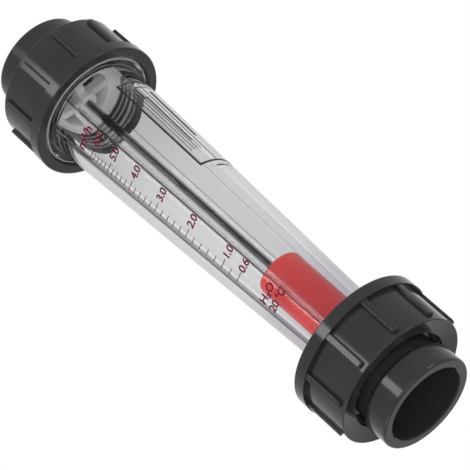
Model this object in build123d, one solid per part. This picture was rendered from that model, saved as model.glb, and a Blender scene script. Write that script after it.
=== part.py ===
from build123d import *
import os
from math import cos, isclose, radians

# Clear-tube water flow meter, standing on its lower pipe socket.
# Millimetres, Z up along the flow, scale facing -Y, origin at the middle of the lower socket's face.
# An end is described with its own height measured from the mouth of its pipe socket.

total_height = 285.0

# Pipe socket of an end connector
pipe_radius = 20.0
pipe_clearance = 0.1
socket_wall = 4.9
socket_band_length = 12.3
socket_depth = 25.0
socket_edge_round = 1.2
socket_bore_chamfer = 0.5
neck_step = 2.2
pipe_stop_width = 2.9
pipe_stop_thickness = 4.9

# Flange that the union nut pulls against the tube
flange_clearance = 0.7
flange_thickness = 7.0
flange_edge_round = 0.6

# Sealing ring in the flange's face
groove_inset = 1.15
groove_width = 3.4
groove_depth = 2.6
groove_cut_overrun = 1.0
ring_side_clearance = 0.1
ring_face_clearance = 0.03
ring_corner_round = 1.0

# Union nut
nut_shoulder_thickness = 6.1
nut_collar_overrun = 0.8
nut_hole_clearance = 1.2
nut_wall = 3.2
nut_mouth_dish = 1.3
nut_mouth_round = 0.5
nut_ring_stand_out = 2.3
nut_ring_height = 6.5
nut_ring_round = 0.9
nut_lead_in = 0.9
nut_thread_clearance = 0.4
nut_thrust_clearance = 0.1
rib_count = 10
rib_width = 3.8
rib_stand_out = 1.8
rib_edge_round = 0.7
rib_foot_round = 1.2
rib_foot_gap = 2.6
rib_root_in_ring = 1.0
rib_root_in_wall = 1.5
lower_nut_angle = 20.0
upper_nut_angle = 18.5

# Measuring tube
tube_face_gap = 0.2
collar_radius = 30.9
collar_wall = 6.25
collar_length = 16.6
collar_edge_chamfer = 0.8
collar_face_round = 1.2
thread_pitch = 3.0
thread_depth = 1.4
thread_lead_length = 1.2
thread_crest_width = 0.5
thread_root_width = 0.4
tube_root_round = 1.2
cone_foot_radius = 18.82
cone_slope = 0.04
tube_wall = 4.0
flat_half_angle = 17.5
flat_end_gap = 1.0

# Guide bracket pressed into each end of the tube
bracket_seat_depth = 8.0
bracket_press_clearance = 0.05
bracket_ring_wall = 1.9
bracket_arm_count = 4
bracket_arm_width = 4.0
bracket_arm_thickness = 5.1
bracket_hub_wall = 2.95
bracket_hub_stand_out = 0.6
spigot_clearance = 0.3
spigot_length = 4.9
bracket_edge_round = 0.6
bracket_arm_angle = 45.0

# Guide rod and what holds it
rod_radius = 2.0
rod_hub_clearance = 0.05
rod_tip_chamfer = 0.4
rod_top_in_hub = 4.5
washer_width = 2.45
washer_thickness = 0.8
rod_nut_flat_radius = 3.5
rod_nut_height = 3.2
rod_nut_chamfer = 0.35
rod_thread_stand_out = 1.0

# Stop buffers on the rod
buffer_wall = 2.95
buffer_bore_clearance = 0.05
lower_buffer_height = 10.3
upper_buffer_height = 2.0
buffer_edge_round = 0.5

# Float
float_radius = 12.5
float_length = 51.1
float_rest_gap = 0.05
float_top_round = 2.6
float_foot_chamfer = 1.2
float_wall = 1.6
float_crown = 4.0
float_core_wall = 1.4
float_cap_thickness = 5.0
float_cap_clearance = 0.05
cap_groove_depth = 1.05
cap_groove_height = 1.6
cap_seal_clearance = 0.05
cap_seal_round = 0.3
weight_length = 30.0
weight_clearance = 0.2
bush_wall = 1.14
bush_running_clearance = 0.06
bush_length = 6.0
bush_flange_stand_out = 1.4
bush_flange_thickness = 0.8
bush_press_clearance = 0.02


def turned(outline):
    """Solid of revolution about Z from closed (radius, height) points."""
    face = make_face(Plane.XZ * Polyline(*outline, close=True))
    return revolve(face, Axis.Z)


def tube_between(inner_radius, outer_radius, low, high):
    """Plain ring from one height to another."""
    return turned([(inner_radius, low), (outer_radius, low), (outer_radius, high), (inner_radius, high)])


def rims(solid, radius, height):
    """Round edges of one radius at one height."""
    def matches(edge):
        at_height = isclose(edge.arc_center.Z, height, abs_tol=0.001)
        return at_height and isclose(edge.radius, radius, abs_tol=0.001)
    return solid.edges().filter_by(GeomType.CIRCLE).filter_by(matches)


def at_upper_end(solid):
    """Turns a lower-end piece over and sets it at the top."""
    return Pos(0, 0, total_height) * Rot(180, 0, 0) * solid


def cone_radius(height):
    """Outer radius of the tube's tapered wall."""
    return cone_foot_radius + cone_slope * (height - collar_end)


# Heights that several pieces share, measured from a socket's mouth
connector_length = socket_depth + pipe_stop_thickness
flange_back = connector_length - flange_thickness
tube_end = connector_length + tube_face_gap
collar_end = tube_end + collar_length
seat_end = tube_end + bracket_seat_depth
hub_start = seat_end - bracket_arm_thickness
hub_end = seat_end + bracket_hub_stand_out
nut_shoulder = flange_back - nut_thrust_clearance
nut_mouth_height = nut_shoulder - nut_shoulder_thickness
nut_top_height = collar_end + nut_collar_overrun
nut_ring_start = nut_top_height - nut_ring_height
float_low = hub_end + lower_buffer_height + float_rest_gap
float_high = float_low + float_length

# Radii that fit one piece in another
socket_bore_radius = pipe_radius + pipe_clearance
socket_outer_radius = socket_bore_radius + socket_wall
neck_radius = socket_outer_radius - neck_step
stop_hole_radius = socket_bore_radius - pipe_stop_width
spigot_radius = stop_hole_radius - spigot_clearance
bracket_window_radius = spigot_radius - bracket_ring_wall
bracket_seat_radius = collar_radius - collar_wall
groove_inner_radius = bracket_seat_radius + groove_inset
nut_bore_radius = collar_radius + nut_thread_clearance
flange_radius = nut_bore_radius - flange_clearance
nut_hole_radius = socket_outer_radius + nut_hole_clearance
nut_body_radius = nut_bore_radius + nut_wall
nut_ring_radius = nut_body_radius + nut_ring_stand_out
rod_hole_radius = rod_radius + rod_hub_clearance
bracket_hub_radius = rod_hole_radius + bracket_hub_wall
washer_radius = rod_hole_radius + washer_width
buffer_bore_radius = rod_radius + buffer_bore_clearance
buffer_radius = buffer_bore_radius + buffer_wall
bush_outer_radius = rod_radius + bush_running_clearance + bush_wall
bush_flange_radius = bush_outer_radius + bush_flange_stand_out
core_inner_radius = bush_outer_radius + bush_press_clearance
core_outer_radius = core_inner_radius + float_core_wall
cap_radius = float_radius - float_wall - float_cap_clearance
cap_groove_radius = cap_radius - cap_groove_depth


def end_connector():
    """Socket for a glued pipe, its neck, and the flange with the sealing groove."""
    body = turned([
        (socket_bore_radius, 0),
        (socket_outer_radius, 0),
        (socket_outer_radius, socket_band_length),
        (neck_radius, socket_band_length + socket_outer_radius - neck_radius),
        (neck_radius, flange_back),
        (flange_radius, flange_back),
        (flange_radius, connector_length),
        (stop_hole_radius, connector_length),
        (stop_hole_radius, socket_depth),
        (socket_bore_radius, socket_depth),
    ])
    body = fillet(rims(body, socket_outer_radius, 0), socket_edge_round)
    body = chamfer(rims(body, socket_bore_radius, 0), socket_bore_chamfer)
    body = fillet(rims(body, flange_radius, flange_back), flange_edge_round)
    groove_outer_radius = groove_inner_radius + groove_width
    groove = tube_between(
        groove_inner_radius,
        groove_outer_radius,
        connector_length - groove_depth,
        connector_length + groove_cut_overrun,
    )
    return body - groove


def sealing_ring():
    """Rubber ring pressed flat between the flange and the end of the tube."""
    low = connector_length - groove_depth
    high = tube_end - ring_face_clearance
    inner_radius = groove_inner_radius + ring_side_clearance
    outer_radius = groove_inner_radius + groove_width - ring_side_clearance
    ring = tube_between(inner_radius, outer_radius, low, high)
    return fillet(ring.edges().filter_by(GeomType.CIRCLE), ring_corner_round)


def nut_rib(angle):
    """Flat-topped grip rib with rounded edges that runs down from the nut's ring."""
    foot = nut_mouth_height + rib_foot_gap
    top = nut_ring_start + rib_root_in_ring
    face_radius = nut_body_radius + rib_stand_out
    depth = rib_stand_out + rib_root_in_wall
    bar = Pos(0, depth / 2 - face_radius, (foot + top) / 2) * Box(rib_width, depth, top - foot)
    corners = bar.edges().filter_by(Axis.Y).sort_by(Axis.Z)[:2]
    bar = fillet(corners, rib_foot_round)
    face_edges = bar.faces().sort_by(Axis.Y)[0].edges().sort_by(Axis.Z)[:-1]
    bar = fillet(face_edges, rib_edge_round)
    return Rot(0, 0, angle) * bar


def union_nut(first_rib_angle):
    """Nut with a wide ring at the tube side, grip ribs and a shoulder behind the flange."""
    shell = turned([
        (nut_hole_radius, nut_mouth_height + nut_mouth_dish),
        (nut_body_radius, nut_mouth_height),
        (nut_body_radius, nut_ring_start),
        (nut_ring_radius, nut_ring_start),
        (nut_ring_radius, nut_top_height),
        (nut_bore_radius, nut_top_height),
        (nut_bore_radius, nut_shoulder),
        (nut_hole_radius, nut_shoulder),
    ])
    shell = fillet(rims(shell, nut_body_radius, nut_mouth_height), nut_mouth_round)
    shell = fillet(rims(shell, nut_ring_radius, nut_top_height), nut_ring_round)
    shell = chamfer(rims(shell, nut_bore_radius, nut_top_height), nut_lead_in)
    for index in range(rib_count):
        shell += nut_rib(first_rib_angle + index * 360 / rib_count)
    return shell


def collar_outline():
    """Outside of the lower threaded collar, as (radius, height) points from the tube's end up."""
    root_radius = collar_radius - thread_depth
    flank = (thread_pitch - thread_crest_width - thread_root_width) / 2
    points = [(collar_radius - collar_edge_chamfer, tube_end)]
    points.append((collar_radius, tube_end + collar_edge_chamfer))
    height = tube_end + collar_edge_chamfer + thread_lead_length
    while height + thread_pitch < collar_end:
        points.append((collar_radius, height))
        points.append((root_radius, height + flank))
        points.append((root_radius, height + flank + thread_root_width))
        points.append((collar_radius, height + 2 * flank + thread_root_width))
        height += thread_pitch
    points.append((collar_radius, collar_end))
    return points


def tube_flat(angle):
    """Wedge of space that cuts a flat along the tapered wall."""
    low = collar_end + flat_end_gap
    high = total_height - collar_end - flat_end_gap
    shrink = cos(radians(flat_half_angle))
    low_distance = cone_radius(low) * shrink
    high_distance = cone_radius(high) * shrink
    far = collar_radius
    side = make_face(Plane.YZ * Polyline(
        (-far, low), (-low_distance, low), (-high_distance, high), (-far, high), close=True))
    return Rot(0, 0, angle) * extrude(side, far, both=True)


def measuring_tube():
    """Clear moulded tube: tapered bore and wall, a threaded collar at each end and two flats."""
    lower_collar = collar_outline()
    upper_collar = [(radius, total_height - height) for radius, height in reversed(lower_collar)]
    upper_end = total_height - tube_end
    upper_seat = total_height - seat_end
    foot = cone_radius(collar_end)
    head_height = total_height - collar_end
    head = cone_radius(head_height)
    outside = lower_collar + [(foot, collar_end), (head, head_height)] + upper_collar
    inside = [
        (bracket_seat_radius, upper_end),
        (bracket_seat_radius, upper_seat),
        (cone_radius(upper_seat) - tube_wall, upper_seat),
        (cone_radius(seat_end) - tube_wall, seat_end),
        (bracket_seat_radius, seat_end),
        (bracket_seat_radius, tube_end),
    ]
    tube = turned(outside + inside)
    tube = fillet(rims(tube, foot, collar_end), tube_root_round)
    tube = fillet(rims(tube, head, head_height), tube_root_round)
    tube = fillet(rims(tube, collar_radius, collar_end), collar_face_round)
    tube = fillet(rims(tube, collar_radius, head_height), collar_face_round)
    return tube - tube_flat(0) - tube_flat(180)


def guide_bracket():
    """Ring, spigot, arms and hub that hold one end of the guide rod."""
    outer_radius = bracket_seat_radius - bracket_press_clearance
    body = turned([
        (bracket_window_radius, tube_end - spigot_length),
        (spigot_radius, tube_end - spigot_length),
        (spigot_radius, tube_end),
        (outer_radius, tube_end),
        (outer_radius, seat_end),
        (bracket_window_radius, seat_end),
    ])
    body = fillet(rims(body, bracket_window_radius, seat_end), bracket_edge_round)
    hub_height = hub_end - hub_start
    hub = Pos(0, 0, hub_start + hub_height / 2) * Cylinder(bracket_hub_radius, hub_height)
    hub = fillet(rims(hub, bracket_hub_radius, hub_end), bracket_edge_round)
    arm_length = bracket_window_radius + bracket_edge_round
    arm_height = bracket_arm_thickness - bracket_edge_round
    arm_middle = Pos(arm_length / 2, 0, hub_start + arm_height / 2)
    arm = arm_middle * Box(arm_length, bracket_arm_width, arm_height)
    body += hub
    for index in range(bracket_arm_count):
        body += Rot(0, 0, bracket_arm_angle + index * 360 / bracket_arm_count) * arm
    hole = Pos(0, 0, hub_end) * Cylinder(rod_hole_radius, 2 * hub_end)
    return body - hole


def guide_rod():
    """Straight steel rod through both hubs."""
    low = hub_start - washer_thickness - rod_nut_height - rod_thread_stand_out
    high = total_height - hub_end + rod_top_in_hub
    rod = Pos(0, 0, (low + high) / 2) * Cylinder(rod_radius, high - low)
    return chamfer(rod.edges().filter_by(GeomType.CIRCLE), rod_tip_chamfer)


def rod_washer():
    """Flat washer under the lower hub."""
    return tube_between(rod_hole_radius, washer_radius, hub_start - washer_thickness, hub_start)


def rod_nut():
    """Hexagon nut that clamps the rod's lower end."""
    high = hub_start - washer_thickness
    low = high - rod_nut_height
    hexagon = RegularPolygon(rod_nut_flat_radius, 6, major_radius=False)
    nut = Pos(0, 0, low) * extrude(hexagon, rod_nut_height)
    corner_radius = rod_nut_flat_radius / cos(radians(30))
    rounding = turned([
        (0, low),
        (corner_radius - rod_nut_chamfer, low),
        (corner_radius, low + rod_nut_chamfer),
        (corner_radius, high - rod_nut_chamfer),
        (corner_radius - rod_nut_chamfer, high),
        (0, high),
    ])
    hole = Pos(0, 0, (low + high) / 2) * Cylinder(rod_hole_radius, rod_nut_height)
    return (nut & rounding) - hole


def stop_buffer(height):
    """Soft ring on the rod, standing on a hub."""
    ring = tube_between(buffer_bore_radius, buffer_radius, hub_end, hub_end + height)
    return fillet(rims(ring, buffer_radius, hub_end + height), buffer_edge_round)


def float_shell():
    """Float's outer wall, crown and core tube, moulded in one and open at the foot."""
    shell = turned([
        (core_inner_radius, float_low + float_cap_thickness),
        (core_outer_radius, float_low + float_cap_thickness),
        (core_outer_radius, float_high - float_crown),
        (float_radius - float_wall, float_high - float_crown),
        (float_radius - float_wall, float_low),
        (float_radius - float_foot_chamfer, float_low),
        (float_radius, float_low + float_foot_chamfer),
        (float_radius, float_high),
        (bush_flange_radius + bush_press_clearance, float_high),
        (bush_flange_radius + bush_press_clearance, float_high - bush_flange_thickness),
        (core_inner_radius, float_high - bush_flange_thickness),
    ])
    return fillet(rims(shell, float_radius, float_high), float_top_round)


def float_end_cap():
    """Plug in the float's foot, with a groove for its seal round the edge."""
    high = float_low + float_cap_thickness - float_cap_clearance
    middle = (float_low + high) / 2
    cap = turned([
        (core_inner_radius, float_low + bush_flange_thickness),
        (bush_flange_radius + bush_press_clearance, float_low + bush_flange_thickness),
        (bush_flange_radius + bush_press_clearance, float_low),
        (cap_radius, float_low),
        (cap_radius, middle - cap_groove_height / 2),
        (cap_groove_radius, middle - cap_groove_height / 2),
        (cap_groove_radius, middle + cap_groove_height / 2),
        (cap_radius, middle + cap_groove_height / 2),
        (cap_radius, high),
        (core_inner_radius, high),
    ])
    return cap


def float_cap_seal():
    """Small rubber ring in the cap's groove."""
    middle = float_low + (float_cap_thickness - float_cap_clearance) / 2
    inner_radius = cap_groove_radius + cap_seal_clearance
    outer_radius = float_radius - float_wall - cap_seal_clearance
    low = middle - cap_groove_height / 2 + cap_seal_clearance
    high = middle + cap_groove_height / 2 - cap_seal_clearance
    ring = tube_between(inner_radius, outer_radius, low, high)
    return fillet(ring.edges().filter_by(GeomType.CIRCLE), cap_seal_round)


def float_weight():
    """Steel sleeve that stands on the cap inside the float."""
    low = float_low + float_cap_thickness
    return tube_between(
        core_outer_radius + weight_clearance,
        float_radius - float_wall - weight_clearance,
        low,
        low + weight_length,
    )


def float_bush(low, flange_below):
    """Flanged bearing bush that runs on the rod, between low and low + bush_length."""
    bore_radius = rod_radius + bush_running_clearance
    high = low + bush_length
    if flange_below:
        flange_low, flange_high = low, low + bush_flange_thickness
    else:
        flange_low, flange_high = high - bush_flange_thickness, high
    sleeve = tube_between(bore_radius, bush_outer_radius, low, high)
    flange = tube_between(bore_radius, bush_flange_radius, flange_low, flange_high)
    return sleeve + flange


parts = {
    "lower_end_connector": end_connector(),
    "lower_o_ring": sealing_ring(),
    "lower_union_nut": union_nut(lower_nut_angle),
    "measuring_tube": measuring_tube(),
    "lower_guide_bracket": guide_bracket(),
    "guide_rod": guide_rod(),
    "rod_washer": rod_washer(),
    "rod_nut": rod_nut(),
    "lower_stop_buffer": stop_buffer(lower_buffer_height),
    "float_shell": float_shell(),
    "float_end_cap": float_end_cap(),
    "float_cap_seal": float_cap_seal(),
    "float_weight": float_weight(),
    "float_lower_bush": float_bush(float_low, True),
    "float_upper_bush": float_bush(float_high - bush_length, False),
    "upper_stop_buffer": at_upper_end(stop_buffer(upper_buffer_height)),
    "upper_guide_bracket": at_upper_end(guide_bracket()),
    "upper_union_nut": Rot(0, 0, upper_nut_angle + 180) * at_upper_end(union_nut(0)),
    "upper_o_ring": at_upper_end(sealing_ring()),
    "upper_end_connector": at_upper_end(end_connector()),
}

os.makedirs("parts", exist_ok=True)
for name, solid in parts.items():
    export_step(solid, f"parts/{name}.step")
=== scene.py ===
from collections import namedtuple
import math

import bmesh
import bpy
from mathutils import Matrix, Vector


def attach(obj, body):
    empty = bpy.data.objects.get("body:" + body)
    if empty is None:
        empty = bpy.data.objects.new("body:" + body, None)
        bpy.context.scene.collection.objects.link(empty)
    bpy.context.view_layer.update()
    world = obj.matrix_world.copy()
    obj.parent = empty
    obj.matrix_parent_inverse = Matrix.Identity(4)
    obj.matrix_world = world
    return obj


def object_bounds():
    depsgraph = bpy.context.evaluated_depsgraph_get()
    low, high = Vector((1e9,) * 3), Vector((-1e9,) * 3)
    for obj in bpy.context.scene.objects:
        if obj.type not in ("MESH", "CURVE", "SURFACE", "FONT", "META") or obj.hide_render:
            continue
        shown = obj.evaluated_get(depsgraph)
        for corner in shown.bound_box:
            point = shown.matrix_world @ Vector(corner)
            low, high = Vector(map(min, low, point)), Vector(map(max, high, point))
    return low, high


# Looks of the clear-tube water flow meter. Metres, in the frame's own axes:
# Z up along the flow, the printed scale on the flat that faces -Y.

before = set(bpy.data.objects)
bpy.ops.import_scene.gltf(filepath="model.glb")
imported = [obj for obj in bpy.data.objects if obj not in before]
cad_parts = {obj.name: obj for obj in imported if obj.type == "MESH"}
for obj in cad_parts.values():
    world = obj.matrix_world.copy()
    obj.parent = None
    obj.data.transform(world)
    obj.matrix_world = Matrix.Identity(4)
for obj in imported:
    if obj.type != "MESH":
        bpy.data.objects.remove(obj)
cad_low, cad_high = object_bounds()

MM = 0.001
WHITE = (1.0, 1.0, 1.0, 1.0)

# Outside of the tapered tube: the overall height comes from the frame, and the other values are the ones
# that the source of the solids gives the tube.
TOTAL_HEIGHT = cad_high.z
TAPER_FOOT_HEIGHT = 46.7 * MM
TAPER_FOOT_RADIUS = 18.82 * MM
TAPER_SLOPE = 0.04
FLAT_HALF_ANGLE = math.radians(17.5)
FLAT_EDGE = math.sin(FLAT_HALF_ANGLE)


def taper_radius(height):
    """Outer radius of the tube's round wall."""
    return TAPER_FOOT_RADIUS + TAPER_SLOPE * (height - TAPER_FOOT_HEIGHT)


# Shader nodes

NOISE_LOW = 0.3
NOISE_HIGH = 0.7


def new_material(name):
    """Empty node material with its output."""
    material = bpy.data.materials.new(name)
    material.use_nodes = True
    material.node_tree.nodes.clear()
    output = material.node_tree.nodes.new("ShaderNodeOutputMaterial")
    return material, material.node_tree, output


def add_node(tree, kind, **inputs):
    """New shader node with values set on its sockets by name."""
    node = tree.nodes.new(kind)
    for key, value in inputs.items():
        node.inputs[key.replace("_", " ")].default_value = value
    return node


def object_noise(tree, scale, detail=3.0, stretch=(1.0, 1.0, 1.0)):
    """Noise fixed to the object, with scale in lumps per metre."""
    place = tree.nodes.new("ShaderNodeTexCoord")
    mapping = add_node(tree, "ShaderNodeMapping", Scale=stretch)
    noise = add_node(tree, "ShaderNodeTexNoise", Scale=scale, Detail=detail)
    tree.links.new(place.outputs["Object"], mapping.inputs["Vector"])
    tree.links.new(mapping.outputs["Vector"], noise.inputs["Vector"])
    return noise.outputs["Fac"]


def remap(tree, noise, low, high):
    """Noise spread over low to high."""
    ends = {"From_Min": NOISE_LOW, "From_Max": NOISE_HIGH, "To_Min": low, "To_Max": high}
    node = add_node(tree, "ShaderNodeMapRange", **ends)
    tree.links.new(noise, node.inputs["Value"])
    return node.outputs["Result"]


def ramp(tree, value, start, end, before, after):
    """Goes smoothly from before, where value is at start, to after, where it is at end."""
    ends = {"From_Min": start, "From_Max": end, "To_Min": before, "To_Max": after}
    node = add_node(tree, "ShaderNodeMapRange", **ends)
    node.interpolation_type = "SMOOTHSTEP"
    tree.links.new(value, node.inputs["Value"])
    return node.outputs["Result"]


def rise(tree, value, start, end):
    """0 where value is at start, rising smoothly to 1 at end."""
    return ramp(tree, value, start, end, 0.0, 1.0)


def fade(tree, value, start, end):
    """1 where value is at start, falling smoothly to 0 at end."""
    return ramp(tree, value, start, end, 1.0, 0.0)


def calculate(tree, operation, *values):
    """Math node; each value is a socket or a plain number."""
    node = tree.nodes.new("ShaderNodeMath")
    node.operation = operation
    for side, value in zip(node.inputs, values):
        if isinstance(value, float):
            side.default_value = value
        else:
            tree.links.new(value, side)
    return node.outputs["Value"]


def both(tree, first, second):
    """Product of two masks."""
    return calculate(tree, "MULTIPLY", first, second)


def any_of(tree, first, *others):
    """Largest of several masks."""
    result = first
    for other in others:
        result = calculate(tree, "MAXIMUM", result, other)
    return result


def darkest(tree, shades):
    """Largest of several (mask, strength) pairs."""
    return any_of(tree, *[both(tree, mask, strength) for mask, strength in shades])


def two_tone(tree, value, dark, light):
    """Colour that goes from dark to light with value."""
    mix = tree.nodes.new("ShaderNodeMix")
    mix.data_type = "RGBA"
    mix.inputs["A"].default_value = (*dark, 1.0)
    mix.inputs["B"].default_value = (*light, 1.0)
    tree.links.new(value, mix.inputs["Factor"])
    return mix.outputs["Result"]


def blend(tree, factor, first, second, kind="MIX"):
    """Colour that goes from the first socket to the second colour, or is multiplied by it."""
    mix = tree.nodes.new("ShaderNodeMix")
    mix.data_type = "RGBA"
    mix.blend_type = kind
    mix.inputs["B"].default_value = (*second, 1.0)
    tree.links.new(factor, mix.inputs["Factor"])
    tree.links.new(first, mix.inputs["A"])
    return mix.outputs["Result"]


def mixed(tree, factor, first, second):
    """First shader where factor is 0, second shader where it is 1."""
    mix = tree.nodes.new("ShaderNodeMixShader")
    tree.links.new(factor, mix.inputs["Fac"])
    tree.links.new(first, mix.inputs[1])
    tree.links.new(second, mix.inputs[2])
    return mix.outputs["Shader"]


def bumped(tree, shader, value, strength, distance):
    """Adds a bump from value to a shader."""
    bump = add_node(tree, "ShaderNodeBump", Strength=strength, Distance=distance)
    tree.links.new(value, bump.inputs["Height"])
    tree.links.new(bump.outputs["Normal"], shader.inputs["Normal"])


# Plastics, rubber and ink

MOTTLE_SCALE = 60.0
GRAIN_DETAIL = 2.0
GRAIN_DEPTH = 0.02 * MM
GLOSS_SPREAD = 0.15


def plastic(name, dark, light, roughness, specular=0.5, grain=1800.0, bump=0.12):
    """Moulded plastic: faint mottling, uneven gloss and a fine grain."""
    material, tree, output = new_material(name)
    shader = add_node(tree, "ShaderNodeBsdfPrincipled", Specular_IOR_Level=specular)
    broad = object_noise(tree, MOTTLE_SCALE)
    fine = object_noise(tree, grain, GRAIN_DETAIL)
    colour = two_tone(tree, remap(tree, broad, 0.0, 1.0), dark, light)
    gloss = remap(tree, fine, roughness * (1.0 - GLOSS_SPREAD), roughness * (1.0 + GLOSS_SPREAD))
    tree.links.new(colour, shader.inputs["Base Color"])
    tree.links.new(gloss, shader.inputs["Roughness"])
    bumped(tree, shader, fine, bump, GRAIN_DEPTH)
    tree.links.new(shader.outputs["BSDF"], output.inputs["Surface"])
    return material


def rubber(name):
    """Black rubber with a dry, even grain."""
    dark = (0.010, 0.010, 0.010)
    light = (0.018, 0.018, 0.018)
    return plastic(name, dark, light, roughness=0.7, specular=0.3, grain=2600.0, bump=0.3)


def printing_ink(name, dark, light):
    """Screen-printed ink with slightly uneven cover."""
    return plastic(name, dark, light, roughness=0.5, specular=0.15, grain=5000.0, bump=0.2)


# Ground steel of the guide rod

STEEL_DARK = (0.030, 0.030, 0.030)
STEEL_LIGHT = (0.045, 0.045, 0.046)
# Painted reflection: gloss colour of the steel's sides, seen towards grazing
STEEL_SIDE_REFLECTION = (0.48, 0.48, 0.49)
STEEL_SIDE_RISE = (0.15, 0.45)
STEEL_ROUGHNESS = (0.10, 0.14)
GRINDING_SCALE = 900.0
GRINDING_DETAIL = 4.0
GRINDING_STRETCH = (0.4, 0.4, 8.0)
GRINDING_DEPTH = 0.002 * MM
GRINDING_BUMP = 0.02
EVEN_WEIGHT = 0.5


def ground_steel(name):
    """Polished steel with fine grinding marks, whose gloss colour is a painted reflection: it rises from
    dark face-on to light towards grazing.
    """
    material, tree, output = new_material(name)
    shader = add_node(tree, "ShaderNodeBsdfPrincipled", Metallic=1.0)
    marks = object_noise(tree, GRINDING_SCALE, GRINDING_DETAIL, GRINDING_STRETCH)
    weak_gloss = two_tone(tree, marks, STEEL_DARK, STEEL_LIGHT)
    # painted reflection: the gloss colour turns light towards the sides
    grazing = add_node(tree, "ShaderNodeLayerWeight", Blend=EVEN_WEIGHT)
    towards_side = rise(tree, grazing.outputs["Facing"], *STEEL_SIDE_RISE)
    colour = blend(tree, towards_side, weak_gloss, STEEL_SIDE_REFLECTION)
    tree.links.new(colour, shader.inputs["Base Color"])
    tree.links.new(remap(tree, marks, *STEEL_ROUGHNESS), shader.inputs["Roughness"])
    bumped(tree, shader, marks, GRINDING_BUMP, GRINDING_DEPTH)
    tree.links.new(shader.outputs["BSDF"], output.inputs["Surface"])
    return material


# Clear plastic of the tube. Each pair is where a change starts and ends: heights and radii in metres,
# shares of the taper's own radius, or how far the wall is seen from the side, from 0 to 1.

CLEAR_IOR = 1.49
CLEAR_GLOSS = (0.15, 0.15, 0.15, 1.0)
CLEAR_DARK = (0.74, 0.74, 0.745)
CLEAR_LIGHT = (0.77, 0.77, 0.775)
# Painted shade: tint of the wall high up on the tube
HIGH_SHADE_TINT = (0.65, 0.65, 0.655)
# Painted shade: tints where the outer face is seen from the side, past the bore and at its rim
PAST_BORE_SHADE_TINT = (0.49, 0.49, 0.495)
RIM_SHADE_TINT = (0.36, 0.36, 0.37)
LOW_TINT = (0.75, 0.71, 0.77)
FLAT_TINT = (0.93, 0.93, 0.935)
# Painted shade: colour of the dark bands beside the flats' edges
EDGE_SHADE_TINT = (0.055, 0.045, 0.055)
# Painted shade: tint of the threaded part of the collars
THREAD_SHADE_TINT = (0.16, 0.16, 0.165)
# Painted glints: pale, dull plastic on the thread crests and the rim of the collars' faces
CREST_GLINT_COLOUR = (0.80, 0.80, 0.80, 1.0)
CREST_GLINT_ROUGHNESS = 0.5
SHADOW_COLOUR = (0.90, 0.90, 0.90, 1.0)
FLOW_SCALE = 90.0
FLOW_DETAIL = 2.0
FLOW_STRETCH = (1.0, 1.0, 0.15)
HIGH_PART = (170.0 * MM, 235.0 * MM)
LOW_PART = (70.0 * MM, 108.0 * MM)
OUTER_FACE = (0.87, 0.90)
BEYOND_TAPER = (1.01, 1.03)
ROUND_WALL = (0.975, 0.995)
FRONT_HALF = (-0.2, 0.0)
PAST_BORE = (0.40, 0.60)
RIM = (0.62, 0.80)

# The two threaded collars, as distances from the tube's middle height and from its axis
COLLAR_FACE = 95.8 * MM
FACE_MARGIN = 0.7 * MM
THREAD_ZONE = (97.0 * MM, 97.5 * MM)
THREAD_ROOT = (29.0 * MM, 29.3 * MM)
FACE_RIM = (29.7 * MM, 30.0 * MM)
THREAD_CREST = (30.75 * MM, 30.87 * MM)
CREST_GLINT_SHARE = 0.75
RIM_GLINT_SHARE = 0.3

# Painted shade: dark bands along the tube beside the edges of its flats, where the wall bends light away:
# start and end across the tube and softness of the sides, as shares of the radius, and strength
EDGE_SHADE_BANDS = (
    (-FLAT_EDGE - 0.012, -FLAT_EDGE + 0.012, 0.01, 0.8),
    (FLAT_EDGE - 0.012, FLAT_EDGE + 0.012, 0.01, 0.8),
)
FRONT_SHADE_BANDS = (
    (-0.412, -0.342, 0.02, 1.0),
    (-0.400, -0.255, 0.02, 0.78),
    (-0.264, -0.220, 0.02, 0.18),
    (FLAT_EDGE - 0.022, FLAT_EDGE + 0.022, 0.03, 1.0),
    (FLAT_EDGE - 0.030, FLAT_EDGE + 0.070, 0.05, 0.65),
    (FLAT_EDGE + 0.020, FLAT_EDGE + 0.170, 0.06, 0.45),
)

TubePlaces = namedtuple("TubePlaces", "across forward share radius height")


def tube_places(tree):
    """Sockets of a spot's place; across, forward and share are shares of the taper's radius."""
    place = tree.nodes.new("ShaderNodeTexCoord")
    parts = tree.nodes.new("ShaderNodeSeparateXYZ")
    tree.links.new(place.outputs["Object"], parts.inputs["Vector"])
    height = parts.outputs["Z"]
    above = calculate(tree, "SUBTRACT", height, TAPER_FOOT_HEIGHT)
    taper = calculate(tree, "MULTIPLY_ADD", above, TAPER_SLOPE, TAPER_FOOT_RADIUS)
    across = calculate(tree, "DIVIDE", parts.outputs["X"], taper)
    forward = calculate(tree, "DIVIDE", parts.outputs["Y"], taper)
    squares = calculate(tree, "ADD", both(tree, across, across), both(tree, forward, forward))
    share = calculate(tree, "SQRT", squares)
    return TubePlaces(across, forward, share, both(tree, share, taper), height)


def band(tree, across, start, end, soft):
    """1 between two shares of the radius across the tube, with soft sides."""
    middle = (start + end) / 2
    half = (end - start) / 2
    offset = calculate(tree, "ABSOLUTE", calculate(tree, "SUBTRACT", across, middle))
    return fade(tree, offset, half - soft / 2, half + soft / 2)


def band_shade(tree, across, bands):
    """Darkest of a table of bands."""
    shades = []
    for start, end, soft, strength in bands:
        shades.append((band(tree, across, start, end, soft), strength))
    return darkest(tree, shades)


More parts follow.
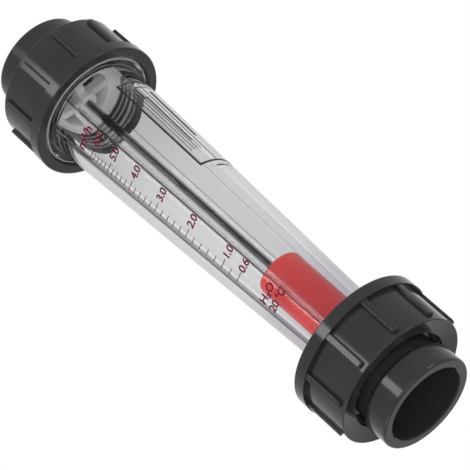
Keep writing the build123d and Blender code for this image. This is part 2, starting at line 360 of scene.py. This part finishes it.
def wall_tint(tree, places):
    """Grey tint of the clear wall, with painted shade that makes it deeper high up, towards its sides and
    beside the flats' edges, clear on the scale's flat.
    """
    flow = object_noise(tree, FLOW_SCALE, FLOW_DETAIL, FLOW_STRETCH)
    tint = two_tone(tree, flow, CLEAR_DARK, CLEAR_LIGHT)
    # painted shade: darker tint high up
    tint = blend(tree, rise(tree, places.height, *HIGH_PART), tint, HIGH_SHADE_TINT)
    outer_face = rise(tree, places.share, *OUTER_FACE)
    # painted shade: the outer face darkens where it is seen from the side
    grazing = add_node(tree, "ShaderNodeLayerWeight", Blend=EVEN_WEIGHT).outputs["Facing"]
    past_bore_shade = both(tree, outer_face, rise(tree, grazing, *PAST_BORE))
    tint = blend(tree, past_bore_shade, tint, PAST_BORE_SHADE_TINT)
    rim = both(tree, outer_face, rise(tree, grazing, *RIM))
    tint = blend(tree, rim, tint, RIM_SHADE_TINT)
    low_part = both(tree, outer_face, fade(tree, places.height, *LOW_PART))
    tint = blend(tree, low_part, tint, LOW_TINT, "MULTIPLY")
    on_taper = both(tree, outer_face, fade(tree, places.share, *BEYOND_TAPER))
    in_front = both(tree, on_taper, fade(tree, places.forward, *FRONT_HALF))
    on_flat = both(tree, in_front, fade(tree, places.share, *ROUND_WALL))
    tint = blend(tree, on_flat, tint, FLAT_TINT)
    # painted shade: dark bands beside the flats' edges
    shade = any_of(
        tree,
        both(tree, band_shade(tree, places.across, EDGE_SHADE_BANDS), on_taper),
        both(tree, band_shade(tree, places.across, FRONT_SHADE_BANDS), in_front),
    )
    return blend(tree, shade, tint, EDGE_SHADE_TINT)


def thread_shade_tint(tree, places, from_middle, tint):
    """Tint with the threaded part of the collars made darker, a painted shade."""
    past_face = rise(tree, from_middle, *THREAD_ZONE)
    on_thread = both(tree, past_face, rise(tree, places.radius, *THREAD_ROOT))
    return blend(tree, on_thread, tint, THREAD_SHADE_TINT)


def glint_share(tree, places, from_middle):
    """Share of pale, dull plastic painted as glints on the threads' crests and on the rim of the collars'
    faces.
    """
    on_crest_glint = rise(tree, places.radius, *THREAD_CREST)
    at_face = calculate(tree, "LESS_THAN", from_middle, COLLAR_FACE + FACE_MARGIN)
    on_rim = both(tree, at_face, rise(tree, places.radius, *FACE_RIM))
    return darkest(tree, [(on_crest_glint, CREST_GLINT_SHARE), (on_rim, RIM_GLINT_SHARE)])


def clear_moulding(name):
    """Clear plastic of the tube, with painted glints on the thread crests and painted shade in its tint,
    that lets lamps shine through.
    """
    material, tree, output = new_material(name)
    places = tube_places(tree)
    offset = calculate(tree, "SUBTRACT", places.height, TOTAL_HEIGHT / 2)
    from_middle = calculate(tree, "ABSOLUTE", offset)
    glass = add_node(tree, "ShaderNodeBsdfPrincipled", Transmission_Weight=1.0, Roughness=0.0)
    glass.inputs["IOR"].default_value = CLEAR_IOR
    glass.inputs["Specular Tint"].default_value = CLEAR_GLOSS
    tint = thread_shade_tint(tree, places, from_middle, wall_tint(tree, places))
    tree.links.new(tint, glass.inputs["Base Color"])
    # painted glints on the thread crests and the collars' face rims
    crest_glint = add_node(tree, "ShaderNodeBsdfPrincipled", Base_Color=CREST_GLINT_COLOUR, Roughness=CREST_GLINT_ROUGHNESS)
    on_crest_glint = glint_share(tree, places, from_middle)
    with_glints = mixed(tree, on_crest_glint, glass.outputs["BSDF"], crest_glint.outputs["BSDF"])
    open_to_lamps = add_node(tree, "ShaderNodeBsdfTransparent", Color=SHADOW_COLOUR)
    shadow_ray = tree.nodes.new("ShaderNodeLightPath").outputs["Is Shadow Ray"]
    surface = mixed(tree, shadow_ray, with_glints, open_to_lamps.outputs["BSDF"])
    tree.links.new(surface, output.inputs["Surface"])
    return material


dark_pvc = plastic(
    "dark_pvc", (0.019, 0.019, 0.0195), (0.023, 0.023, 0.0235), roughness=0.13, specular=0.19
)
grey_bracket = plastic("grey_bracket", (0.73, 0.73, 0.73), (0.80, 0.80, 0.80), roughness=0.4)
red_float = plastic(
    "red_float", (0.60, 0.052, 0.052), (0.63, 0.056, 0.055), roughness=0.18, specular=0.3, grain=300.0,
    bump=0.0,
)
white_bush = plastic("white_bush", (0.70, 0.70, 0.68), (0.78, 0.78, 0.76), roughness=0.4)
black_rubber = rubber("black_rubber")
steel = ground_steel("steel")
clear = clear_moulding("clear")
red_ink = printing_ink("red_ink", (0.080, 0.002, 0.015), (0.110, 0.003, 0.019))
black_ink = printing_ink("black_ink", (0.016, 0.016, 0.017), (0.024, 0.024, 0.026))

NODE_MATERIALS = {
    "lower_end_connector": dark_pvc,
    "lower_o_ring": black_rubber,
    "lower_union_nut": dark_pvc,
    "measuring_tube": clear,
    "lower_guide_bracket": grey_bracket,
    "guide_rod": steel,
    "rod_washer": steel,
    "rod_nut": steel,
    "lower_stop_buffer": black_rubber,
    "float_shell": red_float,
    "float_end_cap": red_float,
    "float_cap_seal": black_rubber,
    "float_weight": steel,
    "float_lower_bush": white_bush,
    "float_upper_bush": white_bush,
    "upper_stop_buffer": grey_bracket,
    "upper_guide_bracket": grey_bracket,
    "upper_union_nut": dark_pvc,
    "upper_o_ring": black_rubber,
    "upper_end_connector": dark_pvc,
}

for node_name, node_material in NODE_MATERIALS.items():
    node_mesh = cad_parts[node_name].data
    node_mesh.materials.clear()
    node_mesh.materials.append(node_material)


# Printed slabs, which lie just over the tube's wall

PRINT_LIFT = 0.03 * MM
PRINT_THICKNESS = 0.04 * MM


def flat_point(across, height, lift):
    """Point over the scale's flat: across to the right, at a height, lift above the surface."""
    distance = taper_radius(height) * math.cos(FLAT_HALF_ANGLE)
    return Vector((across, -(distance + lift), height))


def wall_point(angle, height, lift):
    """Point over the round wall, at an angle from the scale's middle towards the right."""
    radius = taper_radius(height) + lift
    return Vector((radius * math.sin(angle), -radius * math.cos(angle), height))


def print_patch(mesh, place, outline):
    """Thin closed slab under an outline of (u, v) points, with place(u, v, lift) giving each point."""
    low = [mesh.verts.new(place(u, v, PRINT_LIFT)) for u, v in outline]
    high = [mesh.verts.new(place(u, v, PRINT_LIFT + PRINT_THICKNESS)) for u, v in outline]
    mesh.faces.new(high)
    mesh.faces.new(list(reversed(low)))
    count = len(outline)
    for index in range(count):
        after = (index + 1) % count
        mesh.faces.new((low[index], low[after], high[after], high[index]))


def print_strip(mesh, place, lower, upper):
    """Thin closed slab between two rows of (u, v) points that run side by side."""
    rows = []
    for lift in (PRINT_LIFT, PRINT_LIFT + PRINT_THICKNESS):
        for points in (lower, upper):
            rows.append([mesh.verts.new(place(u, v, lift)) for u, v in points])
    low_near, low_far, high_near, high_far = rows
    for index in range(len(lower) - 1):
        after = index + 1
        mesh.faces.new((low_near[index], low_near[after], low_far[after], low_far[index]))
        mesh.faces.new((high_near[index], high_far[index], high_far[after], high_near[after]))
        mesh.faces.new((low_near[index], high_near[index], high_near[after], low_near[after]))
        mesh.faces.new((low_far[index], low_far[after], high_far[after], high_far[index]))
    for end in (0, -1):
        mesh.faces.new((low_near[end], low_far[end], high_far[end], high_near[end]))


def box_outline(u, v, width, height):
    """Corners of a box, anticlockwise."""
    return [(u, v), (u + width, v), (u + width, v + height), (u, v + height)]


def finish_piece(name, mesh, material, body):
    """Turns a bmesh into an object that rides on a body."""
    bmesh.ops.recalc_face_normals(mesh, faces=mesh.faces)
    data = bpy.data.meshes.new(name)
    mesh.to_mesh(data)
    mesh.free()
    data.materials.append(material)
    piece = bpy.data.objects.new(name, data)
    bpy.context.scene.collection.objects.link(piece)
    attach(piece, body)


# Printed scale on the flat, for flows in cubic metres an hour

FIRST_FLOW = 0.6
LAST_FLOW = 6.0
TICK_STEP = 0.2
NUMBERED_FLOWS = (FIRST_FLOW, 1.0, 2.0, 3.0, 4.0, 5.0, LAST_FLOW)
SCALE_ONE_HEIGHT = 117.15 * MM
SCALE_STEP = 26.7 * MM
SCALE_BEND = 1.58 * MM
TICK_EDGE_GAP = 0.05 * MM
MAJOR_TICK_LENGTH = 5.0 * MM
MINOR_TICK_LENGTH = 3.2 * MM
TICK_WIDTH = 0.46 * MM
NUMERAL_SIZE = 6.0 * MM
NUMERAL_START = -1.0 * MM
UNIT_SIZE = 7.2 * MM
UNIT_START = -7.4 * MM
UNIT_HEIGHT = 218.7 * MM
WATER_SIZE = 5.8 * MM
WATER_START = -6.2 * MM
FLUID_HEIGHT = 88.8 * MM
TEMPERATURE_HEIGHT = 82.3 * MM


def scale_height(flow):
    """Height of a flow's tick."""
    above = flow - 1.0
    return SCALE_ONE_HEIGHT + SCALE_STEP * above - SCALE_BEND * above * above


def scale_ticks():
    """Long ticks at the numbered flows and short ticks between them."""
    mesh = bmesh.new()
    steps = round((LAST_FLOW - FIRST_FLOW) / TICK_STEP)
    for index in range(steps + 1):
        flow = FIRST_FLOW + TICK_STEP * index
        is_numbered = any(math.isclose(flow, numbered) for numbered in NUMBERED_FLOWS)
        length = MAJOR_TICK_LENGTH if is_numbered else MINOR_TICK_LENGTH
        height = scale_height(flow) - TICK_WIDTH / 2
        start = TICK_EDGE_GAP - taper_radius(height) * FLAT_EDGE
        print_patch(mesh, flat_point, box_outline(start, height, length, TICK_WIDTH))
    finish_piece("scale_ticks", mesh, red_ink, "tube_unit")


# Lettering. The built-in font is made a little bolder, by a share of its size.

LETTER_WEIGHT = 0.025
LETTER_SPACING = 0.94
LETTER_CURVE_STEPS = 4
SHARPEST_CORNER = 0.4
UPRIGHT_LIMIT = 0.5
SPOT_DIGITS = 6
MERGE_DISTANCE = 0.0001 * MM


def outline_spot(vertex):
    """Place of a vertex in the plane of the lettering, to a thousandth of a millimetre."""
    return round(vertex.co.x, SPOT_DIGITS), round(vertex.co.y, SPOT_DIGITS)


def thicken(data, weight):
    """Moves the outline of flat lettering outwards by weight, so that narrow openings stay open."""
    outward = {}
    for face in data.polygons:
        if abs(face.normal.z) < UPRIGHT_LIMIT:
            for index in face.vertices:
                normals = outward.setdefault(outline_spot(data.vertices[index]), [])
                normals.append(face.normal.copy())
    for vertex in data.vertices:
        normals = outward[outline_spot(vertex)]
        middle = sum(normals, Vector()) / len(normals)
        vertex.co += middle * weight / max(middle.length_squared, SHARPEST_CORNER)


def letter_mesh(name, words, size):
    """Flat mesh of the words, with its left edge and middle height at the origin."""
    curve = bpy.data.curves.new(name, "FONT")
    curve.body = words
    curve.size = size
    curve.extrude = PRINT_THICKNESS / 2
    curve.space_character = LETTER_SPACING
    curve.resolution_u = LETTER_CURVE_STEPS
    curve.align_y = "CENTER"
    text = bpy.data.objects.new(name, curve)
    bpy.context.scene.collection.objects.link(text)
    bpy.context.view_layer.update()
    evaluated = text.evaluated_get(bpy.context.evaluated_depsgraph_get())
    data = bpy.data.meshes.new_from_object(evaluated)
    bpy.data.objects.remove(text)
    thicken(data, size * LETTER_WEIGHT)
    return data


def lettering(name, words, size, across, height):
    """Generic figures or words in red on the flat, left edge at across and middle at height."""
    data = letter_mesh(name, words, size)
    for vertex in data.vertices:
        lift = PRINT_LIFT + PRINT_THICKNESS / 2 + vertex.co.z
        vertex.co = flat_point(across + vertex.co.x, height + vertex.co.y, lift)
    mesh = bmesh.new()
    mesh.from_mesh(data)
    bpy.data.meshes.remove(data)
    bmesh.ops.remove_doubles(mesh, verts=mesh.verts, dist=MERGE_DISTANCE)
    finish_piece(name, mesh, red_ink, "tube_unit")


# Plain writing panel on the round wall, to the right of the scale

PANEL_LEFT = math.radians(64.3)
PANEL_RIGHT = math.radians(132.0)
PANEL_LOW = 159.7 * MM
PANEL_HIGH = 224.4 * MM
PANEL_BORDER = 1.25 * MM
PANEL_TOP_BORDER = 0.8 * MM
RULE_WIDTH = 0.45 * MM
RULE_COUNT = 4
RULE_FIRST = math.radians(71.5)
RULE_STEP = math.radians(4.6)
RULE_LOW = 170.0 * MM
RULE_HIGH = 219.5 * MM
DIVIDER_ANGLE = math.radians(91.0)
DIVIDER_WIDTH = 0.6 * MM
HEADING_ANGLE = math.radians(97.0)
HEADING_WIDTH = 1.9 * MM
HEADING_LOW = 180.0 * MM
HEADING_HIGH = 216.0 * MM
WALL_STEP = math.radians(3.0)


def wall_bar(mesh, angle, width, low, high):
    """Straight bar along the flow on the round wall, with its left edge at an angle."""
    middle_radius = taper_radius((low + high) / 2)
    print_patch(mesh, wall_point, box_outline(angle, low, width / middle_radius, high - low))


def wall_band(mesh, left, right, low, height):
    """Bar that follows the round wall from one angle to another."""
    steps = math.ceil((right - left) / WALL_STEP)
    step = (right - left) / steps
    angles = [left + step * index for index in range(steps + 1)]
    lower = [(angle, low) for angle in angles]
    upper = [(angle, low + height) for angle in angles]
    print_strip(mesh, wall_point, lower, upper)


def writing_panel():
    """Frame with a heading bar and blank ruled lines."""
    mesh = bmesh.new()
    wall_bar(mesh, PANEL_LEFT, PANEL_BORDER, PANEL_LOW, PANEL_HIGH)
    wall_bar(mesh, PANEL_RIGHT, PANEL_BORDER, PANEL_LOW, PANEL_HIGH)
    inner_left = PANEL_LEFT + PANEL_BORDER / taper_radius((PANEL_LOW + PANEL_HIGH) / 2)
    inner_low = PANEL_LOW + PANEL_BORDER
    inner_high = PANEL_HIGH - PANEL_TOP_BORDER
    wall_band(mesh, inner_left, PANEL_RIGHT, PANEL_LOW, PANEL_BORDER)
    wall_band(mesh, inner_left, PANEL_RIGHT, inner_high, PANEL_TOP_BORDER)
    wall_bar(mesh, DIVIDER_ANGLE, DIVIDER_WIDTH, inner_low, inner_high)
    for index in range(RULE_COUNT):
        wall_bar(mesh, RULE_FIRST + RULE_STEP * index, RULE_WIDTH, RULE_LOW, RULE_HIGH)
    wall_bar(mesh, HEADING_ANGLE, HEADING_WIDTH, HEADING_LOW, HEADING_HIGH)
    finish_piece("writing_panel", mesh, black_ink, "tube_unit")


scale_ticks()
writing_panel()
for numbered_flow in NUMBERED_FLOWS:
    figures = f"{numbered_flow:.1f}"
    figures_height = scale_height(numbered_flow)
    lettering(f"scale_numeral_{figures}", figures, NUMERAL_SIZE, NUMERAL_START, figures_height)
lettering("scale_unit", "m³/h", UNIT_SIZE, UNIT_START, UNIT_HEIGHT)
lettering("scale_fluid", "H₂O", WATER_SIZE, WATER_START, FLUID_HEIGHT)
lettering("scale_temperature", "20 °C", WATER_SIZE, WATER_START, TEMPERATURE_HEIGHT)


# Floor and surroundings

FLOOR_SIZE = 30.0
FLOOR_DROP = 0.01 * MM
FLOOR_DARK = (0.80, 0.80, 0.80)
FLOOR_LIGHT = (0.84, 0.84, 0.84)
FLOOR_MOTTLE_SCALE = 3.0
FLOOR_ROUGHNESS = 0.8
FLOOR_GLOW = 0.28
FLOOR_WHITENS = (0.6, 4.0)
WORLD_LIGHT = 0.6


def floor_paint(tree):
    """Pale paint that takes the object's shadow and turns white far out."""
    tone = object_noise(tree, FLOOR_MOTTLE_SCALE)
    paint = add_node(tree, "ShaderNodeBsdfPrincipled", Roughness=FLOOR_ROUGHNESS)
    paint.inputs["Emission Strength"].default_value = FLOOR_GLOW
    tree.links.new(two_tone(tree, tone, FLOOR_DARK, FLOOR_LIGHT), paint.inputs["Base Color"])
    place = tree.nodes.new("ShaderNodeTexCoord")
    reach = tree.nodes.new("ShaderNodeVectorMath")
    reach.operation = "LENGTH"
    tree.links.new(place.outputs["Object"], reach.inputs[0])
    far_out = rise(tree, reach.outputs["Value"], *FLOOR_WHITENS)
    white = add_node(tree, "ShaderNodeEmission", Color=WHITE, Strength=1.0)
    return mixed(tree, far_out, paint.outputs["BSDF"], white.outputs["Emission"])


def floor_material():
    """Floor that is seen from above only, also through the clear tube, and reflects no light."""
    material, tree, output = new_material("pale_floor")
    paint = floor_paint(tree)
    open_below = tree.nodes.new("ShaderNodeBsdfTransparent")
    backfacing = tree.nodes.new("ShaderNodeNewGeometry").outputs["Backfacing"]
    path = tree.nodes.new("ShaderNodeLightPath").outputs
    mirrored = calculate(tree, "SUBTRACT", path["Is Glossy Ray"], path["Is Transmission Ray"])
    unseen = any_of(tree, path["Is Diffuse Ray"], mirrored, path["Is Shadow Ray"], backfacing)
    surface = mixed(tree, unseen, paint, open_below.outputs["BSDF"])
    tree.links.new(surface, output.inputs["Surface"])
    return material


def floor():
    """Square floor just under the object."""
    mesh = bmesh.new()
    bmesh.ops.create_grid(mesh, x_segments=1, y_segments=1, size=FLOOR_SIZE / 2)
    data = bpy.data.meshes.new("floor")
    mesh.to_mesh(data)
    mesh.free()
    data.materials.append(floor_material())
    piece = bpy.data.objects.new("floor", data)
    piece.location = (0.0, 0.0, -FLOOR_DROP)
    bpy.context.scene.collection.objects.link(piece)


def white_surroundings():
    """World that is white to look at and dimmer as a light."""
    world = bpy.data.worlds.new("studio")
    bpy.context.scene.world = world
    world.use_nodes = True
    tree = world.node_tree
    tree.nodes.clear()
    output = tree.nodes.new("ShaderNodeOutputWorld")
    seen = add_node(tree, "ShaderNodeBackground", Color=WHITE, Strength=1.0)
    light = add_node(tree, "ShaderNodeBackground", Color=WHITE, Strength=WORLD_LIGHT)
    path = tree.nodes.new("ShaderNodeLightPath").outputs
    in_view = any_of(tree, path["Is Camera Ray"], path["Is Glossy Ray"], path["Is Transmission Ray"])
    surface = mixed(tree, in_view, light.outputs["Background"], seen.outputs["Background"])
    tree.links.new(surface, output.inputs["Surface"])


# Lamps and camera. The camera is fitted to the photograph; its angles are in degrees.

CAMERA_PLACE = (0.50876, -0.86463, -0.47440)
CAMERA_AZIMUTH = 30.5
CAMERA_ELEVATION = -31.157
CAMERA_ROLL = -48.255
CAMERA_LENS = 191.49
CAMERA_SENSOR = 36.0
CAMERA_NEAR = 0.01
CAMERA_FAR = 40.0


def direction(azimuth, elevation):
    """Unit vector from the object towards an azimuth and elevation, in degrees."""
    around = math.radians(azimuth)
    up = math.radians(elevation)
    return Vector((math.sin(around) * math.cos(up), -math.cos(around) * math.cos(up), math.sin(up)))


def softbox(name, azimuth, elevation, distance, width, height, watts):
    """Rectangular lamp aimed at the middle of the object."""
    data = bpy.data.lights.new(name, "AREA")
    data.shape = "RECTANGLE"
    data.size = width
    data.size_y = height
    data.energy = watts
    lamp = bpy.data.objects.new(name, data)
    middle = Vector((0.0, 0.0, TOTAL_HEIGHT / 2))
    towards = direction(azimuth, elevation)
    lamp.location = middle + towards * distance
    lamp.rotation_mode = "QUATERNION"
    lamp.rotation_quaternion = towards.to_track_quat("Z", "Y")
    bpy.context.scene.collection.objects.link(lamp)


def studio_camera():
    """Camera at the photograph's place, rolled as it was held."""
    data = bpy.data.cameras.new("camera")
    data.sensor_width = CAMERA_SENSOR
    data.lens = CAMERA_LENS
    data.clip_start = CAMERA_NEAR
    data.clip_end = CAMERA_FAR
    camera = bpy.data.objects.new("camera", data)
    camera.location = CAMERA_PLACE
    camera.rotation_mode = "QUATERNION"
    level = (-direction(CAMERA_AZIMUTH, CAMERA_ELEVATION)).to_track_quat("-Z", "Y")
    roll = Matrix.Rotation(math.radians(CAMERA_ROLL), 3, "Z").to_quaternion()
    camera.rotation_quaternion = level @ roll
    bpy.context.scene.collection.objects.link(camera)
    bpy.context.scene.camera = camera


floor()
white_surroundings()
softbox("key_lamp", azimuth=11.0, elevation=29.0, distance=1.2, width=0.32, height=0.5, watts=5.0)
softbox("front_lamp", azimuth=30.0, elevation=-29.0, distance=1.4, width=1.2, height=0.8, watts=8.0)
softbox("right_lamp", azimuth=95.0, elevation=-5.0, distance=1.6, width=0.5, height=1.0, watts=6.0)
softbox("left_lamp", azimuth=-55.0, elevation=-25.0, distance=1.6, width=0.5, height=1.0, watts=5.5)
studio_camera()
bpy.context.scene.view_settings.view_transform = "Standard"
